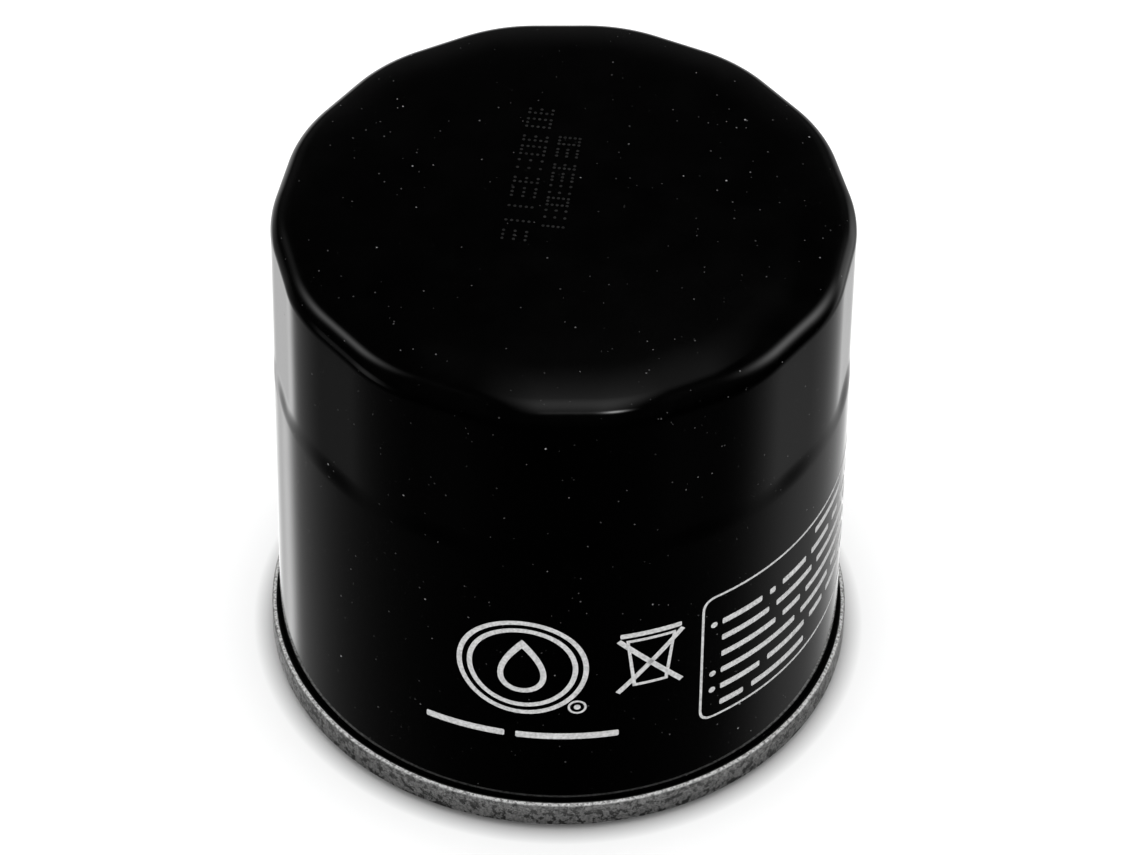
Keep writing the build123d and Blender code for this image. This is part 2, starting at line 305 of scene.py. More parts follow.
def welded(piece):
    """Joins the caps and sides that a curve gives into closed solids."""

    def close(made):
        bmesh.ops.remove_doubles(made, verts=made.verts, dist=WELD)
        bmesh.ops.dissolve_degenerate(made, edges=made.edges, dist=WELD)
        bmesh.ops.triangulate(made, faces=[face for face in made.faces if len(face.verts) > 4])

    outward(reshaped(piece, close))
    smooth(piece.data)
    return piece


def ring_outline(inner, outer, bottom, top, edge):
    return rounded([(inner, bottom), (outer, bottom), (outer, top), (inner, top)], edge)


def joined(pieces, name):
    """One object made of several, each of which stays a closed solid."""
    made = bmesh.new()
    for piece in pieces:
        made.from_mesh(piece.data)
        bpy.data.objects.remove(piece)
    mesh = bpy.data.meshes.new(name)
    made.to_mesh(mesh)
    made.free()
    return placed(name, mesh)


def stretch(start, end, count):
    """That many even steps from start towards end, which is left out."""
    return [start + (end - start) * index / count for index in range(count)]


def smoothstep(value, low, high):
    share = min(max((value - low) / (high - low), 0.0), 1.0)
    return share * share * (3 - 2 * share)


# ---- node helpers
NOISE_LOW, NOISE_HIGH = 0.3, 0.7    # where most of a noise's values lie


def grey(level):
    return level, level, level


class Tree:
    """Short calls for building a node tree."""

    def add(self, kind, inputs=None):
        """A new node; inputs maps a socket's name or place to a number, a colour or a socket."""
        node = self.tree.nodes.new(kind)
        for key, value in (inputs or {}).items():
            self.put(node.inputs[key], value)
        return node

    def put(self, socket, value):
        if isinstance(value, bpy.types.NodeSocket):
            self.tree.links.new(value, socket)
        else:
            socket.default_value = value

    def math(self, operation, *parts):
        node = self.add("ShaderNodeMath", dict(enumerate(parts)))
        node.operation = operation
        return node.outputs[0]

    def product(self, first, *others):
        for other in others:
            first = self.math("MULTIPLY", first, other)
        return first

    def vector_math(self, operation, *parts):
        node = self.add("ShaderNodeVectorMath", dict(enumerate(parts)))
        node.operation = operation
        return node.outputs["Value" if operation == "LENGTH" else "Vector"]

    def spread(self, source, low=NOISE_LOW, high=NOISE_HIGH, start=0.0, end=1.0, eased=False):
        """Maps source from low..high to start..end, held at the ends."""
        inputs = {"Value": source, "From Min": low, "From Max": high, "To Min": start, "To Max": end}
        node = self.add("ShaderNodeMapRange", inputs)
        node.interpolation_type = "SMOOTHSTEP" if eased else "LINEAR"
        return node.outputs["Result"]

    def mix_shaders(self, share, first, second):
        inputs = {0: share, 1: first.outputs[0], 2: second.outputs[0]}
        return self.add("ShaderNodeMixShader", inputs).outputs[0]


class Nodes(Tree):
    """A material's node tree; its patterns lie in the object's own coordinates, in metres."""

    def __init__(self, name):
        self.material = bpy.data.materials.new(name)
        self.material.use_nodes = True
        self.tree = self.material.node_tree
        self.shader = self.tree.nodes["Principled BSDF"]
        self.place = self.add("ShaderNodeTexCoord").outputs["Object"]

    def value(self, name, number):
        self.put(self.shader.inputs[name], number)

    def colour(self, source):
        self.value("Base Color", source)

    def rough(self, source):
        self.value("Roughness", source)

    def noise(self, size, detail=3.0, roughness=0.55, stretch=(1, 1, 1)):
        """Noise whose features are about size across. Returns its 0-to-1 output."""
        place = self.vector_math("MULTIPLY", self.place, [part / size for part in stretch])
        inputs = {"Vector": place, "Scale": 1.0, "Detail": detail, "Roughness": roughness}
        return self.add("ShaderNodeTexNoise", inputs).outputs["Fac"]

    def height(self):
        return self.add("ShaderNodeSeparateXYZ", {0: self.place}).outputs["Z"]

    def cells(self, size):
        """Distance, in cells, from the middles of cells about size across."""
        inputs = {"Vector": self.place, "Scale": 1.0 / size}
        return self.add("ShaderNodeTexVoronoi", inputs).outputs["Distance"]

    def mix(self, factor, first, second):
        """A colour between first and second, each a colour or a socket."""
        node = self.add("ShaderNodeMix", {0: factor})
        node.data_type = "RGBA"
        colours = [socket for socket in node.inputs if socket.type == "RGBA"]
        for socket, part in zip(colours, (first, second)):
            self.put(socket, (*part, 1.0) if isinstance(part, tuple) else part)
        return next(socket for socket in node.outputs if socket.type == "RGBA")

    def bump(self, source, depth, strength=1.0):
        """Adds relief of that depth, in metres, on top of any relief already there."""
        node = self.add("ShaderNodeBump", {"Height": source, "Distance": depth, "Strength": strength})
        socket = self.shader.inputs["Normal"]
        if socket.links:
            self.put(node.inputs["Normal"], socket.links[0].from_socket)
        self.put(socket, node.outputs["Normal"])


# ---- materials
def specks(nodes, cell, patch, low, high, largest):
    """Round specks, one in each cell at most, and more and larger ones where a noise is high."""
    size = nodes.spread(nodes.noise(patch, 1.0), low, high, 0.0, largest)
    return nodes.math("LESS_THAN", nodes.cells(cell), size)


def mottled(name, pattern, tones, first, second, rough, relief=None):
    """A look whose colour, roughness and relief all follow one noise."""
    nodes = Nodes(name)
    cloud = nodes.noise(*pattern)
    nodes.colour(nodes.mix(nodes.spread(cloud, *tones), first, second))
    nodes.rough(nodes.spread(cloud, NOISE_LOW, NOISE_HIGH, *rough))
    if relief:
        nodes.bump(cloud, *relief)
    return nodes.material


def black_paint():
    """Glossy black stoving enamel with faint orange peel and a few specks of dust."""
    nodes = Nodes("black_paint")
    nodes.value("IOR", 1.5)
    cloud = nodes.noise(9 * MM)
    base = nodes.mix(cloud, grey(0.0001), grey(0.0003))
    dust = specks(nodes, 1.05 * MM, 1.7 * MM, 0.42, 0.66, 0.11)
    faint = nodes.mix(nodes.spread(nodes.noise(3 * MM, 1.0), 0.35, 0.65), grey(0.006), grey(0.09))
    speck = specks(nodes, 1.9 * MM, 2.3 * MM, 0.48, 0.72, 0.085)
    bright = nodes.mix(nodes.spread(nodes.noise(7 * MM, 1.0), 0.4, 0.62), grey(0.03), grey(0.24))
    nodes.colour(nodes.mix(speck, nodes.mix(dust, base, faint), bright))
    film = nodes.spread(nodes.noise(5 * MM, 4.0), 0.3, 0.7, 0.06, 0.11)
    nodes.rough(nodes.math("MAXIMUM", film, nodes.product(speck, 0.6)))
    nodes.bump(nodes.noise(1.1 * MM, 2.0), 0.0012 * MM)
    nodes.bump(nodes.noise(0.25 * MM, 2.0), 0.0004 * MM)
    return nodes.material


def tinplate():
    """Tin-coated sheet: a painted highlight along the top of the seam; mottled and stained below, with
    painted shade towards the foot.
    """
    nodes = Nodes("tinplate")
    nodes.value("Metallic", 0.55)
    blotch = nodes.noise(1.3 * MM, 5.0, 0.8)
    grain = nodes.noise(0.34 * MM, 3.0, 0.6)
    curls = nodes.noise(0.95 * MM, 4.0, 0.62)
    height = nodes.height()
    steel = nodes.mix(nodes.spread(grain, 0.34, 0.66), grey(0.11), (0.33, 0.33, 0.325))
    # Painted shade: the steel darkens towards the foot of the seam, where it curves under.
    shade = nodes.spread(height, 1.0 * MM, 3.9 * MM, 0.55, 0.0)
    steel = nodes.mix(shade, steel, grey(0.05))
    # The dark marks are real stains, made darker towards the foot by painted shade.
    stain_and_shade = nodes.spread(height, 1.2 * MM, 4.3 * MM, 0.95, 0.55)
    marks = nodes.math("MAXIMUM", nodes.spread(curls, 0.475, 0.445), nodes.spread(blotch, 0.43, 0.39))
    dull = nodes.mix(nodes.product(marks, stain_and_shade), steel, grey(0.012))
    # A painted highlight along the top of the seam, broken up by noise.
    highlight_breakup = nodes.spread(nodes.noise(0.42 * MM, 3.0, 0.6), 0.38, 0.56, 0.2, 1.0)
    seam_highlight = nodes.product(nodes.spread(height, 4.48 * MM, 4.68 * MM), highlight_breakup)
    bright = nodes.mix(seam_highlight, dull, (1.0, 1.0, 0.99))
    from_axis = nodes.vector_math("LENGTH", nodes.vector_math("MULTIPLY", nodes.place, (1, 1, 0)))
    inner = nodes.spread(from_axis, RIM_RADIUS - 0.52 * MM, RIM_RADIUS - 0.60 * MM)
    painted = nodes.product(inner, nodes.spread(height, 4.25 * MM, 4.35 * MM))
    nodes.colour(nodes.mix(painted, bright, grey(0.002)))
    nodes.rough(nodes.spread(blotch, start=0.55, end=0.34))
    nodes.bump(blotch, 0.03 * MM, 0.6)
    nodes.bump(grain, 0.015 * MM, 0.6)
    return nodes.material


def rolled_steel(name, light, dark, low=0.28, high=0.5):
    """Bare or plated sheet steel with fine rolling streaks."""
    nodes = Nodes(name)
    nodes.value("Metallic", 0.9)
    streaks = nodes.noise(0.3 * MM, 3.0, stretch=(0.08, 1, 1))
    cloud = nodes.noise(6 * MM, 4.0)
    shade = nodes.mix(nodes.spread(streaks), dark, light)
    nodes.colour(nodes.mix(nodes.spread(cloud, 0.35, 0.8, 0.0, 0.5), shade, dark))
    nodes.rough(nodes.spread(cloud, start=low, end=high))
    nodes.bump(streaks, 0.004 * MM, 0.5)
    return nodes.material


def rubber(name, light, dark, low=0.42, high=0.62):
    """Moulded rubber with a faint bloom and a fine matt skin."""
    nodes = Nodes(name)
    bloom = nodes.noise(4 * MM, 4.0)
    skin = nodes.noise(0.18 * MM, 2.0)
    nodes.colour(nodes.mix(nodes.spread(bloom, 0.35, 0.75), dark, light))
    nodes.rough(nodes.spread(bloom, start=low, end=high))
    nodes.bump(skin, 0.006 * MM, 0.7)
    return nodes.material


def filter_paper():
    """Resin-treated paper: felted fibres, small flecks and darker patches of resin."""
    nodes = Nodes("filter_paper")
    fibre = nodes.noise(0.22 * MM, 5.0, 0.7, stretch=(1, 1, 0.35))
    fleck = nodes.spread(nodes.cells(1.1 * MM), 0.0, 0.16, 1.0, 0.0)
    cloud = nodes.noise(5 * MM, 3.0)
    base = nodes.mix(nodes.spread(fibre), (0.60, 0.42, 0.17), (0.83, 0.66, 0.36))
    tinted = nodes.mix(nodes.spread(cloud, 0.35, 0.75, 0.0, 0.5), base, (0.70, 0.50, 0.22))
    nodes.colour(nodes.mix(nodes.product(fleck, 0.5), tinted, (0.42, 0.27, 0.10)))
    nodes.rough(nodes.spread(fibre, 0.2, 0.8, 0.72, 0.92))
    nodes.value("Sheen Weight", 0.15)
    nodes.bump(fibre, 0.03 * MM, 0.8)
    return nodes.material


def adhesive():
    """Cured potting compound, slightly glossy, with small bubbles."""
    nodes = Nodes("potting")
    bubble = nodes.spread(nodes.cells(1.4 * MM), 0.05, 0.3)
    cloud = nodes.noise(3 * MM, 4.0)
    base = nodes.mix(nodes.spread(cloud), (0.36, 0.14, 0.03), (0.56, 0.25, 0.07))
    nodes.colour(nodes.mix(bubble, (0.30, 0.11, 0.02), base))
    nodes.rough(nodes.spread(cloud, start=0.25, end=0.42))
    nodes.bump(bubble, 0.05 * MM, 0.5)
    return nodes.material


def weld_steel():
    """Weld nuggets: bright in the middle, straw and blue at the edge of the heat."""
    nodes = Nodes("weld_steel")
    nodes.value("Metallic", 0.9)
    heat = nodes.noise(1.0 * MM, 3.0)
    tint = nodes.mix(nodes.spread(heat, 0.35, 0.6), (0.16, 0.17, 0.24), (0.42, 0.33, 0.20))
    nodes.colour(nodes.mix(nodes.spread(heat, 0.55, 0.7), tint, (0.52, 0.50, 0.47)))
    nodes.rough(nodes.spread(heat, start=0.3, end=0.55))
    nodes.bump(heat, 0.02 * MM, 0.6)
    return nodes.material


LOOKS = {
    "black_paint": black_paint(),
    "tinplate": tinplate(),
    "weld_steel": weld_steel(),
    "seam_compound": mottled(
        "seam_compound",
        (0.5 * MM, 3.0),
        (0.0, 1.0),
        (0.52, 0.47, 0.36),
        (0.70, 0.66, 0.55),
        (0.5, 0.8),
        (0.02 * MM, 0.6),
    ),
    "gasket_rubber": rubber("gasket_rubber", (0.035, 0.035, 0.036), grey(0.012), 0.30, 0.48),
    "plate_steel": rolled_steel("plate_steel", (0.50, 0.50, 0.51), (0.30, 0.30, 0.31)),
    "valve_rubber": rubber("valve_rubber", (0.06, 0.06, 0.063), (0.022, 0.022, 0.024)),
    "cap_steel": rolled_steel("cap_steel", (0.58, 0.58, 0.57), grey(0.40), 0.22, 0.42),
    "potting": adhesive(),
    "filter_paper": filter_paper(),
    "tube_steel": rolled_steel("tube_steel", (0.52, 0.52, 0.53), (0.34, 0.34, 0.35)),
    "valve_steel": rolled_steel("valve_steel", (0.66, 0.60, 0.42), (0.46, 0.42, 0.34), 0.2, 0.38),
    "seal_rubber": rubber("seal_rubber", grey(0.04), grey(0.015)),
    "stem_steel": rolled_steel("stem_steel", grey(0.64), grey(0.44), 0.2, 0.35),
    "spring_steel": rolled_steel("spring_steel", (0.30, 0.30, 0.31), (0.14, 0.14, 0.15), 0.3, 0.5),
}
# Screen-printed enamel on the side, a little thin at small scale, and faint dots on the domed end.
WHITE_INK = mottled(
    "white_ink", (0.35 * MM, 4.0, 0.65), (0.3, 0.62), grey(0.26), grey(0.52), (0.35, 0.55), (0.006 * MM, 0.5)
)
GREY_INK = mottled("grey_ink", (0.3 * MM,), (0.3, 0.7), grey(0.002), grey(0.012), (0.3, 0.5))


# ---- can
def flats_radius(angle, inset):
    """Distance from the axis to the rounded 14-sided outline, one flat facing -Y."""
    half = math.pi / FLAT_COUNT
    core = FLAT_APOTHEM - FLAT_CORNER
    flat = FLAT_APOTHEM - inset
    from_flat = (angle + math.pi / 2 + half) % (2 * half) - half
    if abs(from_flat) < math.atan(core * math.tan(half) / flat):
        return flat / math.cos(from_flat)
    corner_distance = core / math.cos(half)
    lean = half - abs(from_flat)
    across = corner_distance * math.sin(lean)
    return corner_distance * math.cos(lean) + math.sqrt((FLAT_CORNER - inset) ** 2 - across**2)


def can_radius(angle, height, inset):
    """Radius of the wall: round below, flats above, with a short pressed step between."""
    share = smoothstep(height, FADE_BOTTOM, FADE_TOP)
    return (BODY_RADIUS - inset) * (1 - share) + flats_radius(angle, inset) * share


def shoulder_point(tilt, inset):
    """Distance in from the flats and height over the shoulder's centre, where the skin's
    normal leans by tilt from straight up."""
    tight = SHOULDER_RADIUS - inset
    soft = SOFT_RADIUS - inset
    corner = max(tilt, SHOULDER_END)
    depth = inset + tight * (1 - math.sin(corner))
    height = tight * math.cos(corner)
    if tilt < SHOULDER_END:
        depth += soft * (math.sin(SHOULDER_END) - math.sin(tilt))
        height += soft * (math.cos(tilt) - math.cos(SHOULDER_END))
    return depth, height


DOME_INSET, DOME_DROP = shoulder_point(DOME_TILT, 0.0)
DOME_RISE = (FLAT_APOTHEM - DOME_INSET) * math.tan(DOME_TILT) / 2
SHOULDER_CENTRE = CAN_TOP - DOME_RISE - DOME_DROP


def dome_height(share, inset):
    """Height of the dome at a share of the way from the axis to its edge."""
    return SHOULDER_CENTRE + shoulder_point(DOME_TILT, inset)[1] + DOME_RISE * (1 - share * share)


def can_skin(inset):
    """Rings of (angle -> radius, height) from the dome's middle down the wall."""

    def dome(share):
        edge = shoulder_point(DOME_TILT, inset)[0]
        return lambda angle: (share * flats_radius(angle, edge), dome_height(share, inset))

    def bend(tilt):
        depth, height = shoulder_point(tilt, inset)
        return lambda angle: (flats_radius(angle, depth), SHOULDER_CENTRE + height)

    def wall(height):
        return lambda angle: (can_radius(angle, height, inset), height)

    rings = [dome(share) for share in stretch(0, 1, DOME_RINGS)[1:]]
    rings += [bend(tilt) for tilt in stretch(DOME_TILT, SHOULDER_END, SOFT_RINGS)]
    rings += [bend(tilt) for tilt in stretch(SHOULDER_END, math.pi / 2, BEND_RINGS)]
    heights = stretch(SHOULDER_CENTRE, FADE_TOP, FLAT_RINGS) + stretch(FADE_TOP, FADE_BOTTOM, FADE_RINGS)
    heights += stretch(FADE_BOTTOM, WALL_BOTTOM, WALL_RINGS) + [WALL_BOTTOM]
    return rings + [wall(height) for height in heights]


def make_can():
    outer = can_skin(0.0)
    inner = can_skin(CAN_WALL)[::-1]
    half = CAN_WALL / 2
    wall = BODY_RADIUS - half
    hook = BODY_RADIUS + LID_SHEET + 2 * SEAM_GAP + half
    bend = RIM_BOTTOM + LID_SHEET + 2 * SEAM_GAP + half
    path = [(wall, WALL_BOTTOM - 0.2 * MM), (wall, bend), (hook, bend), (hook, CAN_HOOK_TOP)]
    hook_outline = sheet_outline(path, CAN_WALL, SEAM_BEND)
    outside_first = hook_outline if hook_outline[0][0] > wall else hook_outline[::-1]
    rings = outer + plain_rings(outside_first) + inner
    points = ring_points(rings, ROUND_STEPS)
    top, under = len(points), len(points) + 1
    points += [(0, 0, dome_height(0.0, 0.0)), (0, 0, dome_height(0.0, CAN_WALL))]
    faces = ring_faces(len(rings), ROUND_STEPS, False)
    last = (len(rings) - 1) * ROUND_STEPS
    for step in range(ROUND_STEPS):
        after = (step + 1) % ROUND_STEPS
        faces.append((top, after, step))
        faces.append((under, last + step, last + after))
    can = outward(new_object("can_body", points, faces, 40.0))
    finish_piece(can, "black_paint", ["can_shell"])


# ---- lid, gasket and base plate
def make_lid():
    half = LID_SHEET / 2
    hook = BODY_RADIUS + SEAM_GAP + half
    outside = RIM_RADIUS - half
    chuck = BODY_RADIUS - CAN_WALL - 2 * SEAM_GAP - half
    bead_outer = GASKET_INNER - 0.1 * MM - half
    bead_inner = bead_outer - GROOVE_BEAD
    panel = RIM_BOTTOM + half
    floor = GASKET_TOP + SEAM_GAP + half
    path = [
        (hook, RIM_BOTTOM + LID_SHEET + CAN_WALL + 5 * SEAM_GAP),
        (hook, SEAM_TOP - half),
        (outside, SEAM_TOP - half),
        (outside, panel),
        (chuck, panel),
        (chuck, floor),
        (bead_outer, floor),
        (bead_outer, GROOVE_DEPTH),
        (bead_inner, GROOVE_DEPTH),
        (bead_inner, floor),
        (LID_INNER, floor),
    ]
    lid = lathe("lid", sheet_outline(path, LID_SHEET, SEAM_BEND), 288)
    finish_piece(lid, "tinplate", ["seaming_lid"])


def make_spot_welds():
    """Shallow craters with a raised edge, one over each nugget."""
    profile = [
        (0.02 * MM, 0.005 * MM),
        (0.75 * MM, 0.0),
        (1.0 * MM, -0.05 * MM),
        (1.15 * MM, -0.06 * MM),
        (WELD_RADIUS, 0.06 * MM),
        (0.02 * MM, 0.06 * MM),
    ]
    marks = []
    # every second of twice as many places, so that the first lies half a step round
    for x, y in circle(WELD_CIRCLE, (0, 0), 2 * WELD_COUNT)[1::2]:
        mark = lathe("weld", rounded(profile, 0.05 * MM), 40)
        mark.data.transform(Matrix.Translation((x, y, GASKET_TOP + SEAM_GAP)))
        marks.append(mark)
    finish_piece(joined(marks, "spot_weld_marks"), "weld_steel", ["spot_welds"])


def make_gasket():
    outline = ring_outline(GASKET_INNER, GASKET_OUTER, 0.0, GASKET_TOP, 0.55 * MM)
    finish_piece(lathe("gasket", outline), "gasket_rubber", ["mounting_gasket"])


def strip(curve, points):
    """Adds a closed outline to a flat curve."""
    spline = curve.splines.new("POLY")
    spline.points.add(len(points) - 1)
    for target, point in zip(spline.points, points):
        target.co = (point[0], point[1], 0, 1)
    spline.use_cyclic_u = True


def circle(radius, centre, count=40):
    points = [polar(radius, 2 * math.pi * index / count, 0) for index in range(count)]
    return [(centre[0] + x, centre[1] + y) for x, y, _ in points]


def filled_curve(name, thickness, edge=0.0):
    """A flat filled curve, thick along Z about its own plane, with its edges rounded by edge."""
    curve = bpy.data.curves.new(name, "CURVE")
    curve.dimensions = "2D"
    curve.fill_mode = "BOTH"
    curve.extrude = thickness / 2 - edge
    curve.bevel_depth = edge
    curve.bevel_resolution = 2
    curve.offset = -edge
    return curve


def mesh_of(curve, name):
    holder = placed(name + "_curve", curve)
    bpy.context.view_layer.update()
    mesh = bpy.data.meshes.new_from_object(holder)
    bpy.data.objects.remove(holder)
    mesh.name = name
    return placed(name, mesh)


def make_threaded_hub():
    """The drawn hub, with a real 60 degree helical thread inside."""
    bottom = PLATE_BOTTOM
    rows_per_pitch = 12
    step_height = THREAD_PITCH / rows_per_pitch
    rows = int((HUB_TOP - bottom) / step_height)
    steps = 120
    depth = THREAD_MAJOR - THREAD_MINOR

    def thread_radius(angle, height):
        phase = (height / THREAD_PITCH - angle / (2 * math.pi)) % 1.0
        ramp = min(abs(phase - 0.5) * 2, 1.0)
        radius = THREAD_MINOR + depth * smoothstep(ramp, THREAD_CREST, 1 - THREAD_CREST)
        lead_bottom = THREAD_MINOR + LEAD_IN - (height - bottom)
        lead_top = THREAD_MINOR + LEAD_IN / 2 - (HUB_TOP - height)
        return max(radius, lead_bottom, lead_top)

    def thread_ring(row):
        height = bottom + row * (HUB_TOP - bottom) / rows
        return lambda angle: (thread_radius(angle, height), height)

    plate_top = bottom + PLATE_THICKNESS
    outside = [
        (HUB_RADIUS - 0.3 * MM, HUB_TOP),
        (HUB_RADIUS, HUB_TOP - 0.3 * MM),
        (HUB_RADIUS, plate_top + HUB_FILLET),
    ]
    for turn in range(1, 6):
        lean = math.pi / 2 * turn / 5
        across, down = HUB_FILLET * (1 - math.cos(lean)), HUB_FILLET * (1 - math.sin(lean))
        outside.append((HUB_RADIUS + across, plate_top + down))
    outside += [(HUB_RADIUS + HUB_FILLET, bottom + 0.1 * MM), (HUB_RADIUS + HUB_FILLET - 0.1 * MM, bottom)]
    rings = [thread_ring(row) for row in range(rows + 1)] + plain_rings(outside)
    return outward(new_object("hub", ring_points(rings, steps), ring_faces(len(rings), steps, True), 50.0))


def make_base_plate():
    """The plate is a filled curve with its holes; the hub is a separate ring that fills its middle."""
    edge = 0.12 * MM
    curve = filled_curve("base_plate_disc", PLATE_THICKNESS, edge)
    strip(curve, circle(PLATE_RADIUS, (0, 0), 160))
    strip(curve, circle(HUB_RADIUS + HUB_FILLET - 0.02 * MM, (0, 0), 120))
    for centre in circle(INLET_CIRCLE, (0, 0), INLET_COUNT):
        strip(curve, circle(INLET_RADIUS, centre, 48))
    disc = welded(mesh_of(curve, "base_plate_disc"))
    middle = PLATE_BOTTOM + PLATE_THICKNESS / 2
    disc.data.transform(Matrix.Translation((0, 0, middle)))
    plate = joined([disc, make_threaded_hub()], "base_plate_threaded")
    smooth(plate.data)
    finish_piece(plate, "plate_steel", ["base_plate"])


def make_drainback_valve():
    lip_bottom = bottom_of("drainback_valve")
    outline = rounded(
        [
            (VALVE_BEAD_INNER, VALVE_BEAD_BOTTOM),
            (VALVE_BEAD_OUTER, VALVE_BEAD_BOTTOM, 1.0 * MM),
            (19.0 * MM, 10.6 * MM, 3.0 * MM),
            (VALVE_LIP_RADIUS - 2.2 * MM, lip_bottom + 0.45 * MM, 1.0 * MM),
            (VALVE_LIP_RADIUS - 0.9 * MM, lip_bottom, 0.3 * MM),
            (VALVE_LIP_RADIUS, lip_bottom, 0.35 * MM),
            (VALVE_LIP_RADIUS, lip_bottom + 0.95 * MM, 0.4 * MM),
            (19.2 * MM, 11.7 * MM, 3.0 * MM),
            (VALVE_BEAD_OUTER, VALVE_BEAD_BOTTOM + 1.4 * MM, 0.5 * MM),
            (VALVE_BEAD_OUTER, VALVE_BEAD_TOP, 0.5 * MM),
            (VALVE_BEAD_INNER, VALVE_BEAD_TOP, 0.3 * MM),
        ],
        0.3 * MM,
    )
    valve = lathe("drainback_membrane", outline, 144)
    dress(valve, "valve_rubber", ["drainback_valve"])
    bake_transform(valve)


# ---- element
def make_end_cap(name, node, hole, outside, up):
    """A pressed cap with a raised rib; outside is its outer face and up its open side, 1 or -1."""
    half = CAP_SHEET / 2
    wall = CAP_RADIUS - half
    raised = half + CAP_RIB_HEIGHT
    path = [
        (hole, raised),
        (hole + 2.2 * MM, raised),
        (hole + 3.2 * MM, half),
        (CAP_RIB - 1.0 * MM, half),
        (CAP_RIB, raised),
        (CAP_RIB + 3.5 * MM, raised),
        (CAP_RIB + 4.5 * MM, half),
        (wall, half),
        (wall, CAP_RIM),
    ]
    outline = sheet_outline(path, CAP_SHEET, CAP_SHEET)
    outline = [(radius, outside + up * height) for radius, height in outline]
    finish_piece(lathe(name, outline, 192), "cap_steel", [node])


def make_pleats():
    """One closed ring of folded paper with round folds, slightly uneven from fold to fold."""
    draw = random.Random(11)
    per_pleat = 24
    total = PLEAT_COUNT * per_pleat
    middle_radius = (PLEAT_OUTER + PLEAT_INNER) / 2
    swing = (PLEAT_OUTER - PLEAT_INNER) / 2 - PAPER / 2
    jitter = [draw.uniform(-0.10, 0.10) for _ in range(PLEAT_COUNT)]
    levels = 12
    outer, inner = [], []    # points of the two faces, upwards outside and back down inside
    for level in range(levels + 1):
        height = PLEAT_BOTTOM + (PLEAT_TOP - PLEAT_BOTTOM) * level / levels
        sway = 0.25 * (1 - math.cos(2 * math.pi * level / levels))
        line = []
        for index in range(total):
            phase = 2 * math.pi * index / per_pleat
            sharp = math.tanh(1.1 * math.cos(phase)) / math.tanh(1.1)
            zigzag = 2 / math.pi * math.asin(0.985 * math.cos(phase)) * 0.75 + 0.25 * sharp
            pleat = index / per_pleat
            lean = jitter[int(pleat) % PLEAT_COUNT] * (1 - abs(math.cos(phase / 2))) * sway
            angle = 2 * math.pi * (pleat + lean) / PLEAT_COUNT
            radius = middle_radius + swing * zigzag
            line.append(Vector(polar(radius, angle, height)))
        sides = []
        for index in range(total):
            ahead = line[(index + 1) % total] - line[index - 1]
            sides.append(Vector((ahead.y, -ahead.x, 0)).normalized() * PAPER / 2)
        outer += [tuple(point + side) for point, side in zip(line, sides)]
        inner = [tuple(point - side) for point, side in zip(line, sides)] + inner
    faces = ring_faces(2 * (levels + 1), total, True)
    pleats = new_object("paper_pleats", outer + inner, faces, 60.0)
    finish_piece(outward(pleats), "filter_paper", ["pleated_element"])


# ---- springs and bypass valve
def coil_points(radius, wire, bottom, top, turns, per_turn=40):
    """Middle line of a spring with one closed, flat end turn at each end besides its open turns."""
    total = turns + 2
    end_rise = 2.1 * wire / 2
    low, high = bottom + wire, top - wire
    points = []
    count = int(total * per_turn)
    for index in range(count + 1):
        turn = total * index / count
        left = total - turn
        if turn < 1:
            height = low + end_rise * turn * turn
        elif left < 1:
            height = high - end_rise * left * left
        else:
            start, end = low + end_rise, high - end_rise
            height = start + (end - start) * (turn - 1) / turns
        points.append(Vector(polar(radius, 2 * math.pi * turn, height)))
    return points


def wire_mesh(name, points, wire, sides=14):
    """A round wire along points, closed by flat ends."""
    vertices = []
    for index, point in enumerate(points):
        ahead = (points[min(index + 1, len(points) - 1)] - points[max(index - 1, 0)]).normalized()
        out = Vector((point.x, point.y, 0)).normalized()
        up = ahead.cross(out).normalized()
        out = up.cross(ahead).normalized()
        for side in range(sides):
            turn = 2 * math.pi * side / sides
            vertices.append(tuple(point + (out * math.cos(turn) + up * math.sin(turn)) * wire))
    faces = ring_faces(len(points), sides, False)
    last = (len(points) - 1) * sides
    faces.append(tuple(range(sides)))
    faces.append(tuple(last + side for side in reversed(range(sides))))
    return outward(new_object(name, vertices, faces, 45.0))


def make_coil(name, node, coil, wire, turns):
    """The spring that fills a node's height, not yet on a body."""
    points = coil_points(coil, wire, bottom_of(node), top_of(node), turns)
    spring = wire_mesh(name, points, wire)
    dress(spring, "spring_steel", [node])
    return spring


def make_springs():
    support = make_coil("support_coil", "support_spring", SUPPORT_COIL, SUPPORT_WIRE, SUPPORT_OPEN_TURNS)
    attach(support, HOUSING)
    bypass = make_coil("bypass_coil", "bypass_spring", BYPASS_COIL, BYPASS_WIRE, BYPASS_OPEN_TURNS)
    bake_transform(bypass)


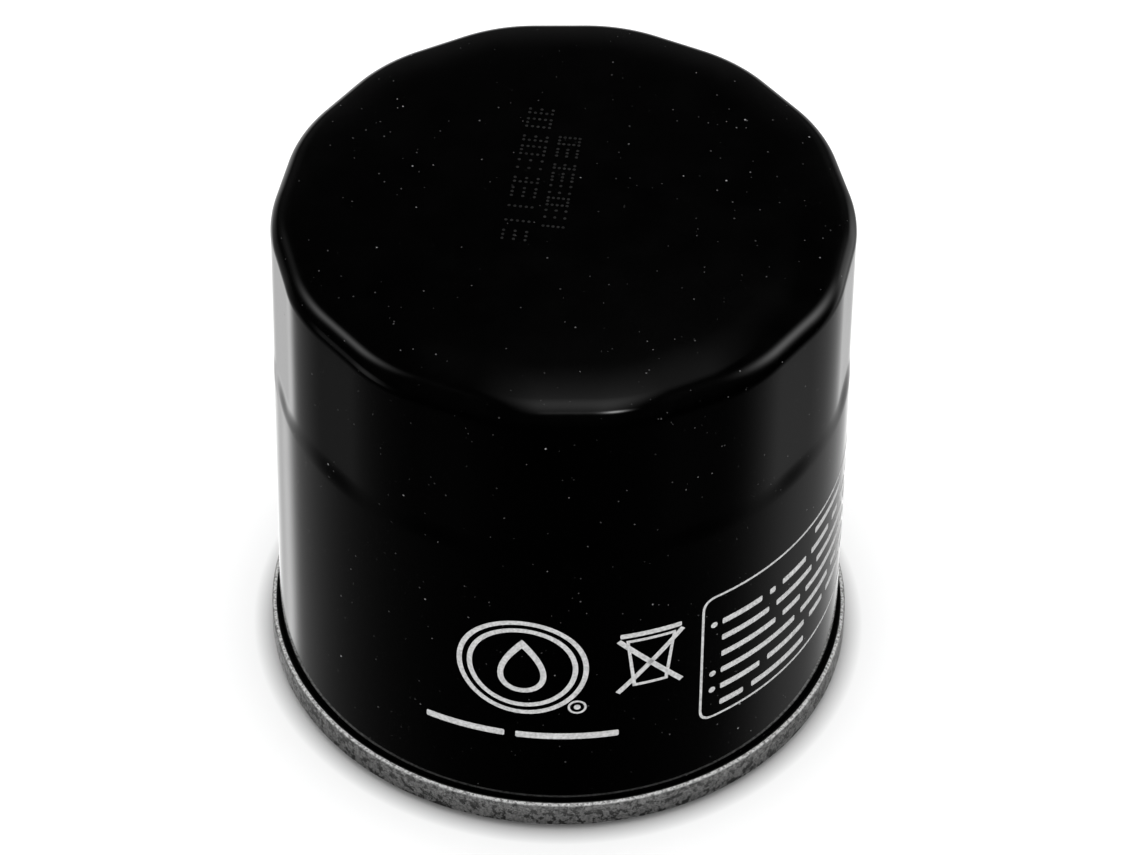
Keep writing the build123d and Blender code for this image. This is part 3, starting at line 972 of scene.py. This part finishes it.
def make_bypass_parts():
    seat = ring_outline(SEAT_HOLE, BYPASS_FLANGE, SEAT_BOTTOM, SEAT_TOP, 0.15 * MM)
    finish_piece(lathe("valve_seat", seat, SMALL_LATHE_STEPS), "valve_steel", ["bypass_seat"])

    seal_bottom, seal_top = bottom_of("bypass_seal"), top_of("bypass_seal")
    hole = STEM_RADIUS + SEAM_GAP
    seal = ring_outline(hole, SEAL_RADIUS, seal_bottom, seal_top, 0.2 * MM)
    seal = lathe("valve_washer", seal, SMALL_LATHE_STEPS)
    finish_piece(seal, "seal_rubber", ["bypass_seal"], "bypass_valve")

    half = POPPET_SHEET / 2
    face = top_of("bypass_poppet") - half
    path = [(hole, face), (POPPET_RADIUS - half, face), (POPPET_RADIUS - half, bottom_of("bypass_poppet"))]
    poppet = lathe("valve_plate", sheet_outline(path, POPPET_SHEET, 0.4 * MM), SMALL_LATHE_STEPS)
    finish_piece(poppet, "valve_steel", ["bypass_poppet"], "bypass_valve")

    head_bottom, head_top = seal_top + SEAM_GAP, top_of("bypass_stem")
    stem = [
        (AXIS_RADIUS, STEM_BOTTOM),
        (STEM_RADIUS, STEM_BOTTOM, 0.3 * MM),
        (STEM_RADIUS, head_bottom, 0.05 * MM),
        (STEM_HEAD, head_bottom, 0.1 * MM),
        (STEM_HEAD, head_top, 0.5 * MM),
        (AXIS_RADIUS, head_top),
    ]
    rivet = lathe("valve_rivet", rounded(stem, 0.0), 48)
    finish_piece(rivet, "stem_steel", ["bypass_stem"], "bypass_valve")


# ---- printed marks
INK_PROUD = 0.03 * MM
INK_SUNK = 0.03 * MM
INK_STRIP = 0.8 * MM


def ink_curve(name):
    return filled_curve(name, INK_PROUD + INK_SUNK)


def rectangle(width, height, centre, corner=0.0):
    x, y = centre
    points = [
        (x - width / 2, y - height / 2),
        (x + width / 2, y - height / 2),
        (x + width / 2, y + height / 2),
        (x - width / 2, y + height / 2),
    ]
    return rounded(points, corner, 6) if corner else points


def drop(height, centre, count=36):
    """An oil drop: round below, drawn to a point above."""
    points = []
    for index in range(count):
        turn = 2 * math.pi * index / count
        pull = (1 - math.cos(turn)) / 2
        width = 0.42 * height * math.sin(turn) * math.sqrt(pull)
        points.append((centre[0] + width, centre[1] + height * (0.5 * math.cos(turn))))
    return points


def wrap_on_can(piece):
    """Cuts flat ink into narrow strips and wraps it round the can; x is arc length from -Y."""

    def wrap(made):
        xs = [vertex.co.x for vertex in made.verts]
        position = math.floor(min(xs) / INK_STRIP) * INK_STRIP
        while position < max(xs):
            parts = made.verts[:] + made.edges[:] + made.faces[:]
            bmesh.ops.bisect_plane(made, geom=parts, plane_co=(position, 0, 0), plane_no=(1, 0, 0))
            position += INK_STRIP
        for vertex in made.verts:
            angle = -math.pi / 2 + vertex.co.x / BODY_RADIUS
            height = vertex.co.y
            offset = INK_PROUD if vertex.co.z > 0 else -INK_SUNK
            vertex.co = polar(can_radius(angle, height, 0.0) + offset, angle, height)

    return welded(reshaped(piece, wrap))


def words(curve, lengths, left, base, height, letter):
    """Plain bars, one for each word of that many letters, in place of a line of print."""
    position = left
    for length in lengths:
        width = (length - 0.25) * letter
        strip(curve, rectangle(width, height, (position + width / 2, base), height * 0.25))
        position += (length + 0.8) * letter


def bar_between(curve, start, end, width):
    """A straight bar from start to end."""
    first, last = Vector(start), Vector(end)
    side = (last - first).normalized() * width / 2
    side = Vector((-side.y, side.x))
    strip(curve, [tuple(first + side), tuple(first - side), tuple(last - side), tuple(last + side)])


def make_emblem():
    """A double ring round an oil drop, with a small ring beside it."""
    curve = ink_curve("ink_emblem")
    centre = (-5.6 * MM, 30.1 * MM)
    for radius in (8.75, 8.05, 7.35, 6.65):
        strip(curve, circle(radius * MM, centre, 96))
    strip(curve, drop(10.0 * MM, (centre[0], centre[1] + 0.3 * MM)))
    strip(curve, drop(7.6 * MM, (centre[0], centre[1] - 0.1 * MM)))
    for radius in (1.25, 0.95, 0.45):
        strip(curve, circle(radius * MM, (1.7 * MM, 22.9 * MM), 32))
    return curve


def make_sign():
    """A plain crossed box, in place of a disposal sign."""
    left, right, low, high = 8.0 * MM, 14.8 * MM, 25.8 * MM, 34.6 * MM
    inward = 1.0 * MM    # how far the box narrows to its foot
    box = ink_curve("ink_box")
    for inset in (0.0, 0.45 * MM):
        foot = [(left + inward + inset, low + inset), (right - inward - inset, low + inset)]
        strip(box, foot + [(right - inset, high - inset), (left + inset, high - inset)])
    lid = ink_curve("ink_box_lid")
    strip(lid, rectangle(right - left + 1.6 * MM, 0.8 * MM, ((left + right) / 2, high + 0.9 * MM), 0.2 * MM))
    curves = [box, lid]
    start, end = left - 1.0 * MM, right + 1.0 * MM
    under, over = low - 0.9 * MM, high + 0.1 * MM
    for name, first, last in (("ink_cross_up", under, over), ("ink_cross_down", over, under)):
        cross = ink_curve(name)
        bar_between(cross, (start, first), (end, last), 0.75 * MM)
        curves.append(cross)
    return curves


PANEL_LINES = [
    # indent in letters, bullet, letters in each word
    (13, False, (7,)),
    (0, True, (5, 1, 4, 4, 2, 3, 2)),
    (0, False, (6, 6, 8, 2, 3, 4)),
    (0, False, (7, 3, 9, 2, 4)),
    (0, True, (10, 6, 2, 3, 4)),
    (0, True, (5, 6, 3, 5, 3)),
    (0, False, (3, 8)),
]


def make_panel():
    """A rounded frame with lines of plain bars and a few bullets."""
    curve = ink_curve("ink_panel")
    left, right, low, high = 18.6 * MM, 71.0 * MM, 14.9 * MM, 38.2 * MM
    centre = ((left + right) / 2, (low + high) / 2)
    line = 0.36 * MM
    strip(curve, rectangle(right - left, high - low, centre, 2.2 * MM))
    strip(curve, rectangle(right - left - 2 * line, high - low - 2 * line, centre, 1.9 * MM))
    pitch = (high - low - 1.6 * MM) / len(PANEL_LINES)
    letter = 1.42 * MM
    for row, (indent, bullet, lengths) in enumerate(PANEL_LINES):
        middle = high - 0.8 * MM - (row + 0.5) * pitch
        start = left + 3.2 * MM + indent * letter
        if bullet:
            strip(curve, circle(0.5 * MM, (left + 1.9 * MM, middle), 20))
        words(curve, lengths, start, middle, 1.0 * MM, letter)
    return curve


def side_marks():
    name_line = ink_curve("ink_name_line")
    words(name_line, (8, 10), -18.7 * MM, 17.3 * MM, 1.1 * MM, 1.4 * MM)
    for curve in [make_emblem(), name_line, make_panel()] + make_sign():
        piece = wrap_on_can(mesh_of(curve, curve.name))
        finish_piece(piece, "black_paint", look=WHITE_INK)


TOP_MARKS = [
    # rows of dots in each plain mark, from its foot: the columns that are filled
    ((0, 1), (0,), (0, 1), (0,), (0, 1)),
    ((0, 1, 2), (0, 2), (0, 2), (0, 2), (0, 1, 2)),
    ((1,), (1,), (1,), (1,), (1,)),
    ((0, 2), (), (0, 2), (), (0, 2)),
    ((0, 1, 2), (), (0, 1, 2), (), (0, 1, 2)),
]
TOP_ROWS = [
    # start and end of each row, height of its marks
    ((-6.6 * MM, -7.2 * MM), (-2.5 * MM, 18.4 * MM), 3.0 * MM),
    ((-1.6 * MM, -5.6 * MM), (0.8 * MM, 10.8 * MM), 2.6 * MM),
]


def top_marks():
    """Two faint rows of plain dot-matrix marks on the domed end."""
    code = ink_curve("ink_top_code")
    draw = random.Random(5)
    for start, end, tall in TOP_ROWS:
        first, last = Vector(start), Vector(end)
        along = (last - first).normalized()
        across = Vector((-along.y, along.x))
        pitch = tall / 4
        position = 0.0
        while position < (last - first).length:
            for row, columns in enumerate(draw.choice(TOP_MARKS)):
                for column in columns:
                    place = first + along * (position + column * pitch) + across * (row - 2) * pitch
                    strip(code, circle(0.21 * MM, place, 10))
            position += 3.6 * pitch
    piece = mesh_of(code, "ink_top_code")
    for vertex in piece.data.vertices:
        angle = math.atan2(vertex.co.y, vertex.co.x)
        radius = math.hypot(vertex.co.x, vertex.co.y)
        surface = dome_height(radius / flats_radius(angle, DOME_INSET), 0.0)
        vertex.co.z = surface + (INK_PROUD / 3 if vertex.co.z > 0 else -INK_SUNK)
    finish_piece(welded(piece), "black_paint", look=GREY_INK)


# ---- carried-over CAD nodes
def paint_cad_nodes():
    slots = {part["node"]: part["material_slot"] for part in frame["record"]["subparts"]}
    for node, holder in frame["nodes"].items():
        holder.data.materials.clear()
        holder.data.materials.append(LOOKS[slots[node]])


# ---- studio
CAMERA_DISTANCE = 0.6182
CAMERA_HEIGHT = 0.6555
CAMERA_TURN = math.radians(-1.4)
CAMERA_PITCH = 0.786
CAMERA_ROLL = 0.014
CAMERA_LENS = 207.4
CAMERA_SHIFT = 0.0079
FLOOR_RADIUS = 8.0


def make_camera():
    data = bpy.data.cameras.new("camera")
    data.lens = CAMERA_LENS
    data.sensor_width = 36.0
    data.shift_x = CAMERA_SHIFT
    data.clip_start = 0.05
    data.clip_end = 20.0
    camera = placed("camera", data)
    place = Matrix.Translation((0, -CAMERA_DISTANCE, CAMERA_HEIGHT))
    aim = Matrix.Rotation(math.pi / 2 - CAMERA_PITCH, 4, "X") @ Matrix.Rotation(CAMERA_ROLL, 4, "Z")
    camera.matrix_world = Matrix.Rotation(CAMERA_TURN, 4, "Z") @ place @ aim
    bpy.context.scene.camera = camera


def make_floor():
    """A pale one-sided floor with a painted contact shadow round the filter, open under the gasket, so that
    views from below show the underside.
    """
    edges = [(GASKET_OUTER - 0.3 * MM, 0), (FLOOR_RADIUS, 0)]
    faces = [face[::-1] for face in ring_faces(2, SMALL_LATHE_STEPS, False)]
    floor = new_object("floor", ring_points(plain_rings(edges), SMALL_LATHE_STEPS), faces)
    nodes = Nodes("floor")
    nodes.value("Roughness", 0.9)
    cloud = nodes.noise(60 * MM, 3.0)
    paper = nodes.mix(cloud, grey(0.91), grey(0.94))
    from_middle = nodes.vector_math("LENGTH", nodes.place)
    # Painted contact shadow: the floor is grey close round the seam and turns to paper a few millimetres
    # out.
    beyond_painted_shadow = nodes.spread(from_middle, RIM_RADIUS - 1.0 * MM, RIM_RADIUS + 2.6 * MM)
    nodes.colour(nodes.mix(beyond_painted_shadow, grey(0.30), paper))
    under = nodes.add("ShaderNodeNewGeometry").outputs["Backfacing"]
    surface = nodes.mix_shaders(under, nodes.shader, nodes.add("ShaderNodeBsdfTransparent"))
    nodes.put(nodes.tree.nodes["Material Output"].inputs["Surface"], surface)
    floor.data.materials.append(nodes.material)
    floor.visible_glossy = False


# Soft boxes: azimuth and elevation of the middle, climb per degree of azimuth, width and height
# of the bell, strength.
BOXES = [
    (171, 35.5, 0.5, 12, 8, 1.95),
    (3, 20.5, -0.5, 12.5, 9.5, 2.6),
    (285, 45, 0.0, 5, 2.5, 10),
    (90, 12, 0.0, 35, 12, 0.09),
]
# Lights that shine from under the horizon: azimuth, width, strength, and the elevations at which
# they are out and full.
LOW_LIGHTS = [
    (13, 14, 0.12, -20, -44),
    (124, 5.5, 1.1, -20, -44),
]
WALL_BEHIND = (97, 24, 0.9, 0, -18)
TABLE_BEHIND = (90, 25, 2.5, -20, -44)    # the same, but falling off exponentially
TABLE_LIMIT = 1.9
# Low side lights: azimuth, width, strength, then the elevations between which the foot fades in
# and those between which the head fades out.
STRIPS = [
    (193, 7.5, 0.45, (-27, -17), (0, -12)),
    (38.6, 8.5, 0.7, (-36, -26), (6, -8)),
]
GLOW_X, GLOW_Y = (0.09, 0.14), (-0.17, 0.38)    # middle and width of the overhead glow, by direction
GLOW_FLOOR = 0.06    # taken off the glow, so that it ends
SOFT_LIGHT = 1.55    # the plain white studio that everything but reflections sees


class Sky(Tree):
    """The studio as seen in reflections: soft boxes as smooth lobes in direction."""

    def __init__(self):
        world = bpy.data.worlds.new("studio")
        world.use_nodes = True
        bpy.context.scene.world = world
        self.tree = world.node_tree
        self.tree.nodes.clear()
        direction = self.add("ShaderNodeTexCoord").outputs["Generated"]
        self.x, self.y, z = self.add("ShaderNodeSeparateXYZ", {0: direction}).outputs
        self.elevation = self.math("ARCSINE", z)
        self.azimuth = self.math("ARCTAN2", self.y, self.x)

    def bell(self, value, middle, width):
        """1 at middle, falling off like a bell of that width."""
        away = self.math("DIVIDE", self.math("SUBTRACT", value, middle), width)
        return self.math("POWER", math.e, self.product(away, away, -0.5))

    def from_azimuth(self, degrees):
        """Angle between a direction's azimuth and the given one, in radians, 0 to pi."""
        away = self.math("SUBTRACT", self.azimuth, math.radians(degrees))
        return self.math("ARCCOSINE", self.math("COSINE", away))

    def across(self, azimuth, width):
        return self.bell(self.from_azimuth(azimuth), 0.0, math.radians(width))

    def ramp(self, low, high):
        """0 at elevation low, 1 at elevation high, eased at both ends."""
        return self.spread(self.elevation, math.radians(low), math.radians(high), eased=True)

    def box(self, azimuth, elevation, climb, width, height, strength):
        away = self.math("SUBTRACT", self.azimuth, math.radians(azimuth))
        away = self.math("WRAP", away, math.pi, -math.pi)
        middle = self.math("ADD", self.math("MULTIPLY", away, climb), math.radians(elevation))
        lobe = self.bell(self.elevation, middle, math.radians(height))
        return self.product(self.bell(away, 0.0, math.radians(width)), lobe, strength)

    def low_light(self, azimuth, width, strength, out, full):
        return self.product(self.across(azimuth, width), self.ramp(out, full), strength)

    def overhead(self):
        """The glow on the front of the dome."""
        glow = self.product(self.bell(self.x, *GLOW_X), self.bell(self.y, *GLOW_Y))
        glow = self.math("MAXIMUM", self.math("SUBTRACT", glow, GLOW_FLOOR), 0.0)
        return self.product(glow, self.ramp(30, 50))

    def behind(self):
        """The white wall and table behind the filter, which its sides reflect."""
        azimuth, width, strength, out, full = TABLE_BEHIND
        decay = self.product(self.from_azimuth(azimuth), -1 / math.radians(width))
        table = self.product(self.math("POWER", math.e, decay), strength)
        table = self.product(self.math("MINIMUM", table, TABLE_LIMIT), self.ramp(out, full))
        return self.math("MAXIMUM", table, self.low_light(*WALL_BEHIND))


def make_world():
    sky = Sky()
    parts = [sky.box(*box) for box in BOXES]
    parts += [sky.overhead(), sky.behind()]
    parts += [sky.low_light(*light) for light in LOW_LIGHTS]
    for azimuth, width, strength, foot, head in STRIPS:
        parts.append(sky.product(sky.across(azimuth, width), sky.ramp(*foot), sky.ramp(*head), strength))
    level = parts[0]
    for part in parts[1:]:
        level = sky.math("ADD", level, part)
    shine = sky.add("ShaderNodeBackground", {"Strength": level})
    soft = sky.add("ShaderNodeBackground", {"Color": (1, 1, 1, 1), "Strength": SOFT_LIGHT})
    glossy = sky.add("ShaderNodeLightPath").outputs["Is Glossy Ray"]
    sky.add("ShaderNodeOutputWorld", {"Surface": sky.mix_shaders(glossy, soft, shine)})


# ---- everything
paint_cad_nodes()
make_can()
make_lid()
make_spot_welds()
make_gasket()
make_base_plate()
make_drainback_valve()
make_end_cap("lower_cap", "lower_end_cap", LOWER_CAP_HOLE, LOWER_CAP_BOTTOM, 1)
make_end_cap("upper_cap", "upper_end_cap", UPPER_CAP_HOLE, UPPER_CAP_TOP, -1)
make_pleats()
make_springs()
make_bypass_parts()
side_marks()
top_marks()
make_camera()
make_floor()
make_world()
bpy.context.scene.view_settings.view_transform = "Standard"
